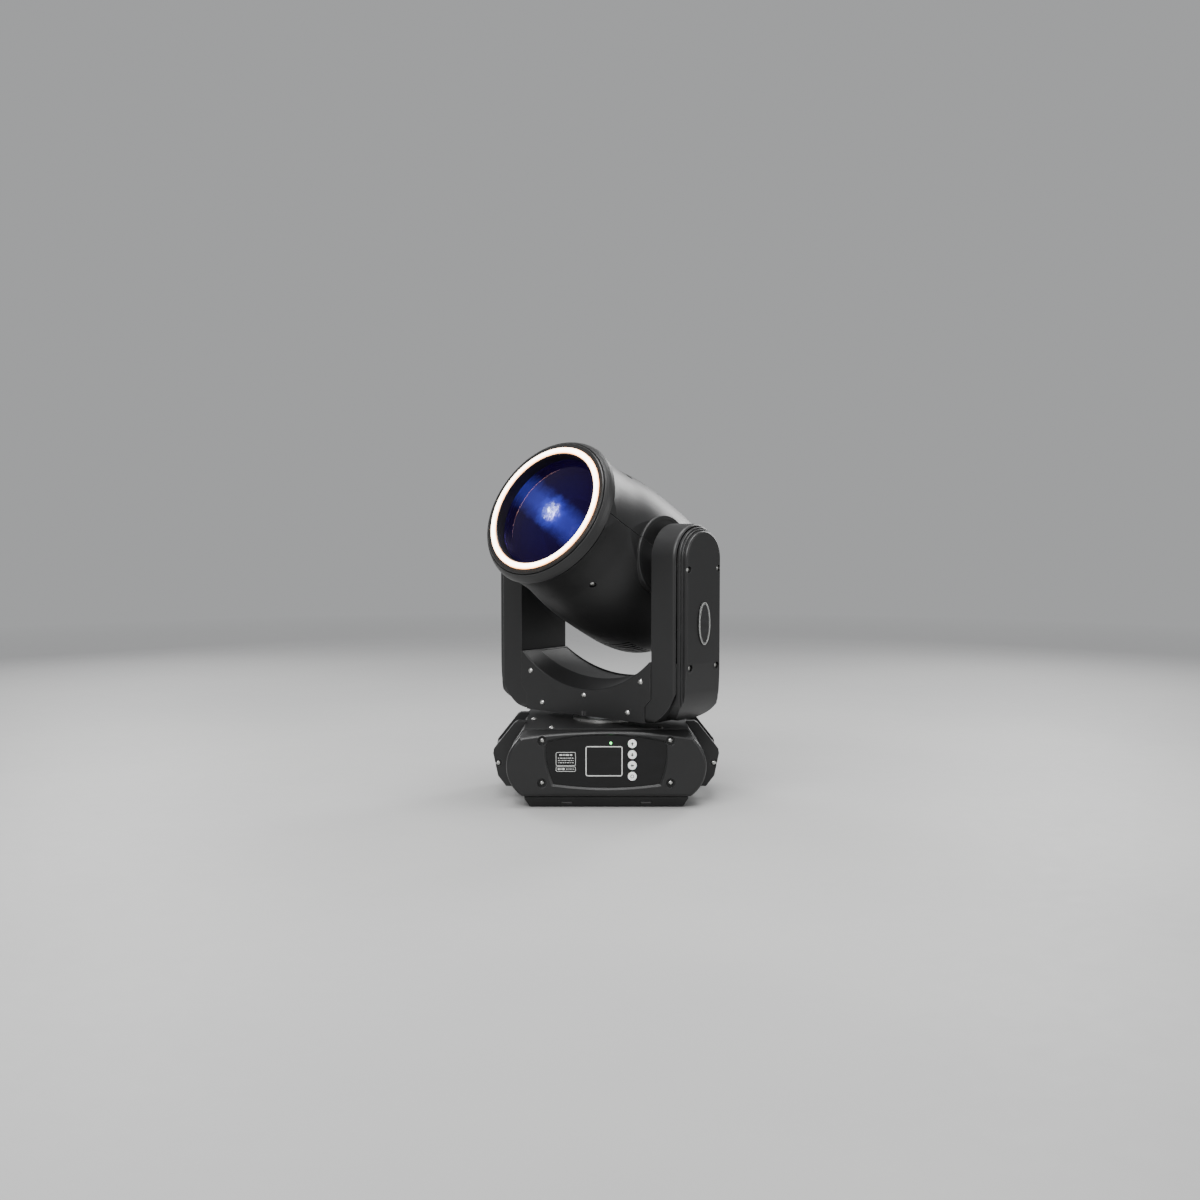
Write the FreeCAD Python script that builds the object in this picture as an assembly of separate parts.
"""Moving head beam light: base, pan yoke and tilting head, in millimetres.

Frame: +Z up, front towards -Y, origin on the pan axis at the level of the rubber feet.
The yoke is built in its own frame (u to its right, v to its back) and the head in its own
frame (x to its right, -y along the beam, origin on the tilt axis); both are then turned
to the stored pose.
"""
import FreeCAD, Part
import math
import os

V = FreeCAD.Vector
X_AXIS = V(1, 0, 0)
Y_AXIS = V(0, 1, 0)
Z_AXIS = V(0, 0, 1)

# ---------------------------------------------------------------- driving dimensions
# Stored pose
PAN_REST = -41.1          # yoke turned clockwise from straight ahead, degrees
TILT_REST = 27.15         # beam above the horizontal, degrees
TILT_Z = 335.0            # height of the tilt axis

# Common fits and stock
GAP = 0.4                 # visible seam between two mouldings
FIT = 0.05                # radial running fit of shafts in bearings
WALL = 3.0                # moulded cover thickness
SCREW_HEAD_R = 3.9
SCREW_HEAD_H = 2.4
SCREW_SHANK_R = 2.0
SCREW_LENGTH = 9.0
SCREW_RECESS_R = 5.2
CROSS_WIDTH = 1.0
CROSS_DEPTH = 1.3
FAR = 200.0               # beyond every part of a body, for cutters
MOTOR_SIZE = 42.0
MOTOR_SHAFT_R = 3.0

# Base
BASE_TOP_Z = 105.0
BASE_TOP_HALF = 110.0
BASE_FRONT_Y = -112.0
FASCIA_BACK_Y = -98.0
FASCIA_TOP_Z = 104.4
FASCIA_ARCH_Z = 87.2      # where the arched front edge meets the sides
FASCIA_ROUNDING = 5.0
FASCIA_RECESS = (12.0, 6.5)
FASCIA_BOSS_R = 9.0
WINDOW_LEDGE = 2.5
SHELL_BACK_Y = 104.0
SHOULDER_X = 121.5        # housing width where the cut corner meets the bulging side
BULGE_X = 131.2
BULGE_Z = 52.0
SILL_X = 113.5            # housing width at the plinth
REAR_PANEL_Y = 98.0
PLINTH_BOTTOM_Z = 1.5
PLINTH_TOP_Z = 15.0
PLINTH_FLOOR_Z = 5.0
COVER_SPLIT_Z = 88.0
FOOT_R = 11.0
FOOT_AT = (84.0, 76.0)
BRACKET_AT = (53.0, 80.0)
BRACKET_HOLE_R = 4.0
BRACKET_BARREL_R = 9.0
TONGUE_HALF_X = 7.0
TONGUE_Z = (5.2, 7.6)
TONGUE_Y = (88.5, 101.0)
TONGUE_ROOM = 0.7         # clear space round each tongue in the plinth edge
HANDLE_HALF_Y = 48.0
HANDLE_ARM = 12.0
HANDLE_SEAM = 0.15
GRIP_INNER_X = 142.0
POCKET_FLOOR_X = 113.0
POCKET_Z = (27.0, 81.0)
HANDLE_RECESS = (4.0, 4.6)
WINDOW_Y = BASE_FRONT_Y + 4.0      # back face of the sunk window
WINDOW_THICK = 1.6
WINDOW_BEVEL = 2.4
BOARD_Y = WINDOW_Y + 9.0
DISPLAY = (-26.0, 18.7, 46.0, 81.0)
BUTTON_X = 34.4
BUTTON_R = 5.8
BUTTON_PROUD = 1.2
LED_R = 1.5
BUTTON_Z = (86.9, 72.3, 57.9, 43.3)
BUTTON_NAMES = ("button_up", "button_down", "button_back", "button_enter")
LED_AT = (5.9, 87.7)
FASCIA_SCREWS = ((85.0, 91.0), (85.5, 34.5))
TOP_SCREWS = ((99.6, -7.3), (72.6, -88.0), (72.6, 88.0))
HANDLE_SCREW = (147.3, 50.3)

# Rear panel
REAR_SCREWS = ((-100.0, 80.0), (100.0, 80.0), (-100.0, 26.0), (100.0, 26.0))
INLET_AT = (-78.0, 52.0)
OUTLET_AT = (-42.0, 52.0)
DATA_IN_AT = (-4.0, 52.0)
DATA_OUT_AT = (32.0, 52.0)
FUSE_AT = (68.0, 70.0)
SWITCH_AT = (68.0, 38.0)
SWITCH_HALF = (7.0, 11.0)
ROCKER_DEPTH = 3.5
ROCKER_TILT = 10.0
SOCKET_R = 12.0
FLANGE_HALF = (13.0, 15.5)
FLANGE_THICK = 2.2
POWER_CUP = (9.6, 18.0)   # radius and depth
DATA_CUP = (9.0, 14.0)
DATA_RING_R = (10.6, 8.8)
PIN_CIRCLE_R = 4.8
PIN_R = 1.2
PIN_HOLE_R = 1.4
FUSE_R = 6.5
FUSE_CAP_R = 8.2
SUPPLY_X = (-104.0, -42.0)
SUPPLY_Y = (-66.0, 62.0)
SUPPLY_TOP_Z = 62.0

# Pan drive
PAN_SHAFT_R = 29.0
PAN_BORE_R = 23.0
PAN_PULLEY_R = 44.0
PAN_MOTOR_AT = (66.0, 26.0)
PAN_MOTOR_PULLEY_R = 11.0
PAN_BELT_Z = (80.0, 90.0)
BELT_CLEAR = 0.3
BELT_THICK = 1.6
TOP_BORE_R = 37.0
PAN_FLANGE_R = 46.0
PAN_MOTOR_Z = 66.0
PULLEY_RIM = 2.4
RIM_THICK = 1.2

# Yoke
COVER_HALF_V = 47.0
COVER_BOTTOM_Z = 113.5
COVER_HALF_U = 118.3
TROUGH_END = (115.0, 195.5)
TROUGH_FRONT_Z = 150.0     # lowest point of the trough at the front face
TROUGH_FLOOR_Z = 163.0     # lowest point behind the sloping lip
TROUGH_SPLIT_V = -15.4
TROUGH_RIM = 2.6
TROUGH_SUNK = 2.0
KNEE_Z = 135.8            # sides of the block step in below the knee
SIDE_Z = 146.0
ARM_INNER_U = 118.7
ARM_HALF_V = 46.0
ARM_TOP_Z = 378.0
ARM_SHELL_U = 158.0
ARM_EDGE_U = 161.0
ARM_BEND_Z = (196.0, 160.0)    # the outer face leans in between these heights
ARM_OUTER_U = 170.5
PANEL_OUTSET = 9.6
PANEL_STEPS = ((4.2, 162.6, 30.0, 1.4), (6.6, 165.2, 32.0, 1.2), (9.2, ARM_OUTER_U, 34.0, 3.0))
PANEL_FOOT = 3.0          # lower edge of the side panel above the shell's own
FOOT_U = 108.5
FRAME_U = 148.0
FRAME_THICK = 3.0
FRAME_HALF_V = 28.0
FRAME_FLOOR_Z = 119.0
FRAME_TOP_Z = 352.0
FRAME_KNEE_U = 117.0
COVER_SCREWS = ((100.6, 168.4), (78.4, 125.0), (-100.6, 168.4), (-78.4, 125.0), (0.0, 142.0))
PANEL_SCREWS = ((31.9, 318.9), (-31.9, 318.9), (28.4, 189.9), (-28.4, 189.9))
BADGE_Z = 247.0
BADGE_HALF = (13.5, 29.5)
BADGE_THICK = 1.3
PANEL_RECESS = (12.0, 4.6)
BOSS_R = 7.0

# Tilt drive
TILT_SHAFT_R = 14.0
TILT_BORE_R = 9.0
TILT_END_R = 12.0
TILT_PULLEY_R = 30.0
TILT_BEARING_R = 19.0
TILT_MOTOR_LENGTH = 25.0
TILT_MOTOR_Z = 215.0
TILT_MOTOR_PULLEY_R = 10.0
TILT_BELT_U = (154.0, 161.5)

# Head, measured along the beam from the tilt axis
SEAM_A = 124.2
HEAD_REAR_A = -158.0
HEAD_FLAT_U = 101.0
HUB_R = 54.0
HUB_U = 104.0
SHELL_SPLIT_W = 1.5
SEAM_GROOVE = 1.2
HALO_R = (82.0, 89.5)
HALO_FRONT_A = 143.0
BEZEL_FRONT_A = 141.3
BEZEL_R = 96.6
LENS_R = 79.0
LENS_RIM_A = 126.5
HALO_LAMPS = 36
HUB_RIM = 5.0
VENT_PITCH = 9.0
VENT_HALF = 2.2
VENT_REACH = 44.0
SINK_SLOTS = 7
SINK_SLOT_PITCH = 7.5
SIDE_PLATE_U = (82.0, 85.0)
BULKHEAD = 3.0
BARREL_R = 77.0
FAN_HALF = 43.0
FAN_BORE_R = 40.0
FAN_Y = (130.0, 147.0)
FAN_PIN_R = 2.0
FAN_BLADES = 7
SINK_Y = (90.0, 128.0)
SINK_HALF = (46.0, 42.0)
SINK_PITCH = 6
HEAD_PROFILE = (
    (SEAM_A, 103.2),
    (112.0, 101.3),
    (90.0, 100.4),
    (70.0, 101.4),
    (52.0, 104.2),
    (30.0, 107.4),
    (-5.0, 109.3),
    (-50.0, 109.3),
    (-88.0, 107.0),
    (-112.0, 102.0),
    (-132.0, 92.5),
    (-146.0, 79.0),
    (-154.5, 63.0),
    (HEAD_REAR_A, 50.0),
)
HEAD_SCREWS = ((60.0, 59.0), (60.0, 121.0), (72.0, -51.0), (72.0, -129.0),
               (-72.0, 59.0), (-72.0, 121.0), (-72.0, -51.0), (-72.0, -129.0))
WHEEL_OFFSET = 40.0
WHEEL_R = 52.0
WHEEL_HOLE_R = 9.5
WHEEL_HOLES = 8
COLOUR_A = -24.0
GOBO_A = -14.0
FOCUS_A = 58.0
ROD_U = 44.0
ROD_R = 3.0
EFFECT_MOTOR = (28.0, 16.0)
EFFECT_SHAFT_R = 2.5
CARRIAGE_R = (36.0, 30.1)
CARRIAGE_LENGTH = 10.0
FOCUS_LENS_R = 30.0


# ---------------------------------------------------------------- general helpers
def box(x, y, z):
    """Box from three (low, high) pairs."""
    return Part.makeBox(x[1] - x[0], y[1] - y[0], z[1] - z[0], V(x[0], y[0], z[0]))


def cylinder(radius, start, direction, length):
    return Part.makeCylinder(radius, length, start, direction)


def tube(outer, inner, start, direction, length):
    return cylinder(outer, start, direction, length).cut(cylinder(inner, start, direction, length))


def fuse(shapes):
    first = shapes[0]
    if len(shapes) == 1:
        return first
    return first.fuse(list(shapes[1:])).removeSplitter()


def outline(items, plane):
    """Closed wire from 2D points; a pair of points in a row item is an arc (via, end)."""
    start = items[0]
    here = start
    edges = []
    for item in list(items[1:]) + [start]:
        if isinstance(item[0], tuple):
            via, end = item
            edges.append(Part.Arc(plane(*here), plane(*via), plane(*end)).toShape())
        else:
            end = item
            if end != here:
                edges.append(Part.makeLine(plane(*here), plane(*end)))
        here = end
    return Part.Wire(edges)


def prism(items, plane, step, offset=0.0):
    """Solid swept from an outline by a vector, the outline first grown by offset."""
    wire = outline(items, plane)
    if offset:
        wire = wire.makeOffset2D(offset)
    return Part.Face(wire).extrude(step)


def plane_xz(y):
    return lambda x, z: V(x, y, z)


def plane_yz(x):
    return lambda y, z: V(x, y, z)


def plane_xy(z):
    return lambda x, y: V(x, y, z)


def turned(points):
    """Solid of revolution about the beam axis from closed (a, r) points, a forwards (-Y)."""
    wire = Part.makePolygon([V(r, -a, 0) for a, r in points + points[:1]])
    return Part.Face(wire).revolve(V(0, 0, 0), Y_AXIS, 360)


def radial(angle):
    t = math.radians(angle)
    return V(math.cos(t), 0, math.sin(t))


def mirrored_x(shape):
    return shape.mirror(V(0, 0, 0), X_AXIS)


def rounded(shape, radius, chosen):
    """Fillet the edges that the test picks."""
    edges = [e for e in shape.Edges if chosen(e)]
    return shape.makeFillet(radius, edges)


def along_y(shape):
    """The straight edges that run from front to back."""
    return [e for e in shape.Edges if abs(e.tangentAt(e.FirstParameter).y) > 0.99]


def on_plane(component, value):
    """Test: the whole edge lies on the plane component = value."""
    def test(edge):
        return all(abs(getattr(v.Point, component) - value) < 1e-4 for v in edge.Vertexes) and \
            abs(getattr(edge.CenterOfMass, component) - value) < 1e-4
    return test


def aimed(shape, point, direction):
    """Move a shape built along +Z at the origin to a point and direction."""
    rotation = FreeCAD.Rotation(Z_AXIS, V(direction))
    moved = shape.copy()
    moved.Placement = FreeCAD.Placement(V(point), rotation)
    return moved


def to_yoke(shape):
    placed = shape.copy()
    placed.rotate(V(0, 0, 0), Z_AXIS, PAN_REST)
    return placed


def to_head(shape):
    placed = shape.copy()
    placed.rotate(V(0, 0, 0), X_AXIS, -TILT_REST)
    placed.translate(V(0, 0, TILT_Z))
    placed.rotate(V(0, 0, 0), Z_AXIS, PAN_REST)
    return placed


# ---------------------------------------------------------------- fasteners
def pan_head_screw():
    """Cross-recess pan head screw, seat at the origin, head towards +Z."""
    dome_r = (SCREW_HEAD_R ** 2 + SCREW_HEAD_H ** 2) / (2 * SCREW_HEAD_H)
    ball = Part.makeSphere(dome_r, V(0, 0, SCREW_HEAD_H - dome_r))
    head = cylinder(SCREW_HEAD_R, V(0, 0, 0), Z_AXIS, SCREW_HEAD_H).common(ball)
    shank = cylinder(SCREW_SHANK_R, V(0, 0, 0.5 - SCREW_LENGTH), Z_AXIS, SCREW_LENGTH)
    half = 0.55 * SCREW_HEAD_R
    slot = box((-half, half), (-CROSS_WIDTH / 2, CROSS_WIDTH / 2),
               (SCREW_HEAD_H - CROSS_DEPTH, SCREW_HEAD_H + 1))
    cross = slot.fuse(slot.rotated(V(0, 0, 0), Z_AXIS, 90))
    return fuse([head, shank]).cut(cross)


def screw_hole(point, direction, recess=0.0, recess_r=SCREW_RECESS_R):
    """Cutter for a screw whose seat lies at the point, with a round recess above the seat."""
    hole = cylinder(SCREW_SHANK_R + 0.15, V(0, 0, -SCREW_LENGTH - 1), Z_AXIS, SCREW_LENGTH + 2)
    if recess:
        hole = hole.fuse(cylinder(recess_r, V(0, 0, 0), Z_AXIS, recess))
    return aimed(hole, point, direction)


def screw_set(places):
    """Compound of separate screws from (seat point, direction) pairs."""
    screw = pan_head_screw()
    return Part.makeCompound([aimed(screw, point, direction) for point, direction in places])


def belt(centre_a, radius_a, centre_b, radius_b, plane, depth):
    """Closed toothed-belt loop round two pulleys, given in a 2D plane and swept by depth."""
    def loop(extra):
        ra = radius_a + extra
        rb = radius_b + extra
        dx = centre_b[0] - centre_a[0]
        dy = centre_b[1] - centre_a[1]
        distance = math.hypot(dx, dy)
        heading = math.atan2(dy, dx)
        spread = math.acos((ra - rb) / distance)

        def at(centre, radius, angle):
            return (centre[0] + radius * math.cos(angle), centre[1] + radius * math.sin(angle))

        return [at(centre_a, ra, heading + spread),
                (at(centre_a, ra, heading + math.pi), at(centre_a, ra, heading - spread)),
                at(centre_b, rb, heading - spread),
                (at(centre_b, rb, heading), at(centre_b, rb, heading + spread))]

    outer = prism(loop(BELT_CLEAR + BELT_THICK), plane, depth)
    inner = prism(loop(BELT_CLEAR), plane, depth)
    return outer.cut(inner)


def stepper(size, length, shaft_r, shaft_length):
    """Square stepper motor, mounting face at the origin, shaft towards +Z."""
    half = size / 2
    chamfer = size * 0.12
    corner = [(-half + chamfer, -half), (half - chamfer, -half), (half, -half + chamfer),
              (half, half - chamfer), (half - chamfer, half), (-half + chamfer, half),
              (-half, half - chamfer), (-half, -half + chamfer)]
    can = prism(corner, plane_xy(-length), V(0, 0, length))
    shaft = cylinder(shaft_r, V(0, 0, -1), Z_AXIS, shaft_length + 1)
    return fuse([can, shaft])


# ---------------------------------------------------------------- base
def base_section():
    """Cross-section of the base housing: flat top, cut corners, bulging sides."""
    half = BASE_TOP_HALF
    return [(-half, BASE_TOP_Z), (half, BASE_TOP_Z), (SHOULDER_X, COVER_SPLIT_Z),
            ((BULGE_X, BULGE_Z), (SILL_X, PLINTH_TOP_Z)), (-SILL_X, PLINTH_TOP_Z),
            ((-BULGE_X, BULGE_Z), (-SHOULDER_X, COVER_SPLIT_Z))]


def base_housing():
    """The hollow housing that the top cover and the two side covers are cut from."""
    start = FASCIA_BACK_Y + GAP
    length = SHELL_BACK_Y - start
    outer = prism(base_section(), plane_xz(start), V(0, length, 0))
    inner = prism(base_section(), plane_xz(start - 1), V(0, length + 2, 0), -WALL)
    floor = box((-108, 108), (start - 1, SHELL_BACK_Y + 1), (PLINTH_TOP_Z - 1, PLINTH_TOP_Z + 4))
    return outer, outer.cut(inner).cut(floor)


def top_screw_places():
    return [(V(sx * x, y, BASE_TOP_Z), Z_AXIS) for x, y in TOP_SCREWS for sx in (1, -1)]


def base_top_cover(housing):
    keep = box((-FAR, FAR), (-FAR, FAR), (COVER_SPLIT_Z + GAP / 2, FAR))
    front_y = FASCIA_BACK_Y + GAP
    flange = prism(base_section(), plane_xz(front_y), V(0, WALL, 0)).common(keep)
    cover = fuse([housing.common(keep), flange])
    cover = cover.cut(cylinder(TOP_BORE_R, V(0, 0, COVER_SPLIT_Z), Z_AXIS, 30))
    for point, direction in top_screw_places():
        cover = cover.cut(screw_hole(point, direction))
    return cover


def base_side_cover(outer, housing):
    """Right side cover, with the finger pocket behind the handle."""
    keep = box((0, FAR), (-FAR, FAR), (PLINTH_TOP_Z, COVER_SPLIT_Z - GAP / 2))
    reach = HANDLE_HALF_Y - HANDLE_ARM
    lining = box((POCKET_FLOOR_X - WALL, FAR), (-reach - WALL, reach + WALL),
                 (POCKET_Z[0] - WALL, POCKET_Z[1] + WALL))
    pocket = box((POCKET_FLOOR_X, FAR), (-reach, reach), POCKET_Z)
    shell = housing.common(keep)
    return fuse([shell, lining.common(outer).common(keep)]).cut(pocket)


def fascia_outline():
    """Front view of the fascia: like the housing, a little fuller at the sides."""
    top_x = BASE_TOP_HALF - 1.0
    side_x, side_z = SHOULDER_X - 3.0, COVER_SPLIT_Z + 3.0
    bulge_x = BULGE_X + 1.8
    sill_x, sill_z = SILL_X - 1.0, PLINTH_TOP_Z + 1.2
    return [(-top_x, FASCIA_TOP_Z), (top_x, FASCIA_TOP_Z), (side_x, side_z),
            ((bulge_x, BULGE_Z), (sill_x, sill_z)), (-sill_x, sill_z),
            ((-bulge_x, BULGE_Z), (-side_x, side_z))]


def fascia_bevel():
    """Cutter for the sloping top of the fascia, from an arched front edge to a straight back edge."""
    half, roof = 140.0, 125.0
    front = outline([(-half, FASCIA_ARCH_Z), ((0.0, FASCIA_TOP_Z - 0.6), (half, FASCIA_ARCH_Z)),
                     (half, roof), (-half, roof)], plane_xz(BASE_FRONT_Y - 0.5))
    back = outline([(-half, FASCIA_TOP_Z), (half, FASCIA_TOP_Z), (half, roof), (-half, roof)],
                   plane_xz(FASCIA_BACK_Y))
    return Part.makeLoft([front, back], True, True)


def front_fascia():
    """Bulging front panel with the bevelled window seat and the deep screw recesses."""
    items = fascia_outline()
    depth = FASCIA_BACK_Y - BASE_FRONT_Y
    body = prism(items, plane_xz(BASE_FRONT_Y), V(0, depth, 0))
    body = body.makeFillet(FASCIA_ROUNDING, along_y(body))
    body = body.cut(fascia_bevel())
    body = rounded(body, FASCIA_ROUNDING, on_plane("y", BASE_FRONT_Y))
    core = prism(items, plane_xz(BASE_FRONT_Y + 2 * WALL), V(0, depth, 0), -7.5).cut(
        fascia_bevel().translated(V(0, WALL, -WALL)))
    bosses = [cylinder(FASCIA_BOSS_R, V(sx * x, BASE_FRONT_Y + 2, z), Y_AXIS, depth - 2)
              for x, z in FASCIA_SCREWS for sx in (1, -1)]
    body = fuse([body.cut(core)] + [b.common(body) for b in bosses])
    window_front = WINDOW_Y - WINDOW_THICK
    bevel = Part.makeLoft([outline(window_outline(WINDOW_BEVEL + 0.1), plane_xz(BASE_FRONT_Y - 0.1)),
                           outline(window_outline(), plane_xz(window_front))], True, True)
    seat = prism(window_outline(), plane_xz(window_front), V(0, WINDOW_THICK, 0))
    opening = prism(window_outline(-WINDOW_LEDGE), plane_xz(BASE_FRONT_Y), V(0, depth + 1, 0))
    body = body.cut(bevel).cut(seat).cut(opening)
    for point, direction in fascia_screw_places():
        body = body.cut(screw_hole(point, direction, *FASCIA_RECESS))
    return body


def fascia_screw_places():
    return [(V(sx * x, BASE_FRONT_Y + 5, z), V(0, -1, 0)) for x, z in FASCIA_SCREWS for sx in (1, -1)]


def window_outline(grow=0.0):
    """Front view of the window, its edges moved outwards by grow."""
    top_x, top_z = 79.5 + grow, 89.0 + grow
    low_x, low_z = 70.5 + grow, 33.0 - grow
    return [(-top_x, top_z), ((0.0, 98.4 + grow), (top_x, top_z)), ((top_x - 0.6, 62.0), (low_x, low_z)),
            ((0.0, 27.7 - grow), (-low_x, low_z)), ((0.6 - top_x, 62.0), (-top_x, top_z))]


def display_window():
    plate = prism(window_outline(-0.3), plane_xz(WINDOW_Y - WINDOW_THICK), V(0, WINDOW_THICK - 0.05, 0))
    for z in BUTTON_Z:
        plate = plate.cut(cylinder(BUTTON_R + 0.3, V(BUTTON_X, WINDOW_Y - 5, z), Y_AXIS, 10))
    return plate.cut(cylinder(LED_R + 0.3, V(LED_AT[0], WINDOW_Y - 5, LED_AT[1]), Y_AXIS, 10))


def display_module():
    """Colour display: glass panel in a metal tray, tight behind the window."""
    x0, x1, z0, z1 = DISPLAY
    front = WINDOW_Y + 0.2
    tray = box((x0 - 3, x1 + 3), (front + 0.8, front + 4.5), (z0 - 4, z1 + 3))
    glass = box((x0, x1), (front, front + 2), (z0, z1))
    return fuse([tray, glass])


def control_board():
    """Control board with its processor, key switches and plug headers."""
    y = BOARD_Y
    board = box((-66, 62), (y, y + 1.6), (33, COVER_SPLIT_Z - 0.3))
    chips = [box((-50, -34), (y + 1.4, y + 3.4), (60, 76)), box((-10, 10), (y + 1.4, y + 3.2), (40, 60)),
             box((-60, -20), (y + 1.4, y + 9), (34, 42)), box((26, 50), (y + 1.4, y + 7), (74, 82))]
    keys = [box((BUTTON_X - 3, BUTTON_X + 3), (y - 2.0, y + 0.2), (z - 3, z + 3)) for z in BUTTON_Z]
    return fuse([board] + chips + keys)


def status_led():
    x, z = LED_AT
    tip = WINDOW_Y - WINDOW_THICK
    lamp = cylinder(LED_R, V(x, tip, z), Y_AXIS, 8.0)
    dome = Part.makeSphere(LED_R, V(x, tip, z))
    return fuse([lamp, dome])


def push_button(z):
    """Round key cap with a retaining bar behind the window and a stem to its switch."""
    front = WINDOW_Y - WINDOW_THICK - BUTTON_PROUD
    cap = cylinder(BUTTON_R, V(BUTTON_X, front, z), Y_AXIS, 4.6)
    cap = rounded(cap, 0.6, on_plane("y", front))
    flange = box((BUTTON_X - BUTTON_R - 1.8, BUTTON_X + BUTTON_R + 1.8), (front + 3.4, front + 4.6),
                 (z - 2.5, z + 2.5))
    stem = cylinder(2.0, V(BUTTON_X, front + 4, z), Y_AXIS, 4.6)
    return fuse([cap, flange, stem])


def base_bottom_plate():
    """Tray-shaped plinth that everything in the base stands on."""
    def ring(half_x, half_y, z):
        return outline([(-half_x, -half_y), (half_x, -half_y), (half_x, half_y), (-half_x, half_y)],
                       plane_xy(z))
    skirt = Part.makeLoft([ring(103, 99, PLINTH_BOTTOM_Z), ring(109, 104, 12.0)], True, True)
    rim = box((-109, 109), (-104, 103), (12.0, PLINTH_TOP_Z))
    hollow = box((-99, 99), (-94, 94), (PLINTH_FLOOR_Z, 20))
    tray = fuse([skirt, rim]).cut(hollow)
    for x, y in corners(FOOT_AT):
        tray = tray.cut(cylinder(FOOT_R + 0.1, V(x, y, 0), Z_AXIS, 3.5))
    for x, y in corners(BRACKET_AT):
        tray = tray.cut(cylinder(BRACKET_HOLE_R, V(x, y, 0), Z_AXIS, 10))
    half = TONGUE_HALF_X + TONGUE_ROOM
    slot_z = (TONGUE_Z[0] - TONGUE_ROOM, TONGUE_Z[1] + TONGUE_ROOM)
    for x in (-BRACKET_AT[0], BRACKET_AT[0]):
        for side in (-1, 1):
            tray = tray.cut(box((x - half, x + half), tuple(sorted((side * 93, side * 110))), slot_z))
    return tray


def corners(half):
    return [(sx * half[0], sy * half[1]) for sx in (-1, 1) for sy in (-1, 1)]


def bracket_sockets():
    """Quarter-turn bracket sockets: a bored barrel with a tongue that shows in the plinth edge."""
    pieces = []
    for x, y in corners(BRACKET_AT):
        side = math.copysign(1.0, y)
        barrel = tube(BRACKET_BARREL_R, BRACKET_HOLE_R, V(x, y, PLINTH_FLOOR_Z), Z_AXIS, 9)
        tongue = box((x - TONGUE_HALF_X, x + TONGUE_HALF_X),
                     tuple(sorted((side * TONGUE_Y[0], side * TONGUE_Y[1]))), TONGUE_Z)
        pieces.append(fuse([barrel, tongue]))
    return Part.makeCompound(pieces)


def rubber_feet():
    foot = cylinder(FOOT_R, V(0, 0, 0), Z_AXIS, 3.4)
    foot = rounded(foot, 0.8, on_plane("z", 0))
    return Part.makeCompound([foot.translated(V(x, y, 0)) for x, y in corners(FOOT_AT)])


def carry_handle():
    """Right handle: two slanted arms from the top corner joined by a grip bar."""
    items = [(109.0, 108.2), (121.0, 108.2), (125.0, 106.0), (153.5, 70.0), (154.5, 64.0),
             (148.0, 33.0), (137.0, 18.5), (118.0, 18.5)]
    full = prism(items, plane_xz(-HANDLE_HALF_Y), V(0, 2 * HANDLE_HALF_Y, 0))
    reach = HANDLE_HALF_Y - HANDLE_ARM
    window = box((100, 170), (-reach, reach), (0, 120))
    arms = full.cut(window)
    bar_items = [(GRIP_INNER_X, 66.0), ((148.2, 70.5), (153.0, 67.0)), (154.5, 63.0), (149.8, 41.0),
                 ((147.0, 35.5), (GRIP_INNER_X - 1, 38.0))]
    bar = prism(bar_items, plane_xz(-reach - 1), V(0, 2 * reach + 2, 0))
    room = prism(base_section(), plane_xz(-HANDLE_HALF_Y - 5), V(0, 2 * HANDLE_HALF_Y + 10, 0), HANDLE_SEAM)
    handle = fuse([arms, bar]).cut(room)
    for side in (-1, 1):
        seat = V(HANDLE_SCREW[0], side * (HANDLE_HALF_Y - 2.6), HANDLE_SCREW[1])
        handle = handle.cut(screw_hole(seat, V(0, side, 0), *HANDLE_RECESS))
    return handle


def handle_screw_places():
    return [(V(sx * HANDLE_SCREW[0], sy * (HANDLE_HALF_Y - 2.6), HANDLE_SCREW[1]), V(0, sy, 0))
            for sx in (-1, 1) for sy in (-1, 1)]


def rear_panel():
    panel = prism(base_section(), plane_xz(REAR_PANEL_Y), V(0, WALL, 0), -WALL - 0.2)
    for x, z in (INLET_AT, OUTLET_AT, DATA_IN_AT, DATA_OUT_AT):
        panel = panel.cut(cylinder(SOCKET_R + 0.2, V(x, REAR_PANEL_Y - 1, z), Y_AXIS, 10))
    panel = panel.cut(cylinder(FUSE_R + 0.2, V(FUSE_AT[0], REAR_PANEL_Y - 1, FUSE_AT[1]), Y_AXIS, 10))
    hole = box((SWITCH_AT[0] - SWITCH_HALF[0], SWITCH_AT[0] + SWITCH_HALF[0]), (90, 110),
               (SWITCH_AT[1] - SWITCH_HALF[1], SWITCH_AT[1] + SWITCH_HALF[1]))
    panel = fuse([panel.cut(hole), switch_frame()])
    for point, direction in rear_screw_places():
        panel = panel.cut(screw_hole(point, direction))
    return panel


def rear_screw_places():
    return [(V(x, REAR_PANEL_Y + WALL, z), Y_AXIS) for x, z in REAR_SCREWS]


def socket_shell(at, depth):
    """Panel socket: square flange on the panel and a round cup through it."""
    x, z = at
    face = REAR_PANEL_Y + WALL
    flange = box((x - FLANGE_HALF[0], x + FLANGE_HALF[0]), (face, face + FLANGE_THICK),
                 (z - FLANGE_HALF[1], z + FLANGE_HALF[1]))
    flange = flange.makeFillet(3.0, along_y(flange))
    cup = cylinder(SOCKET_R, V(x, face - depth, z), Y_AXIS, depth + FLANGE_THICK + 1.2)
    return fuse([flange, cup])


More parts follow.
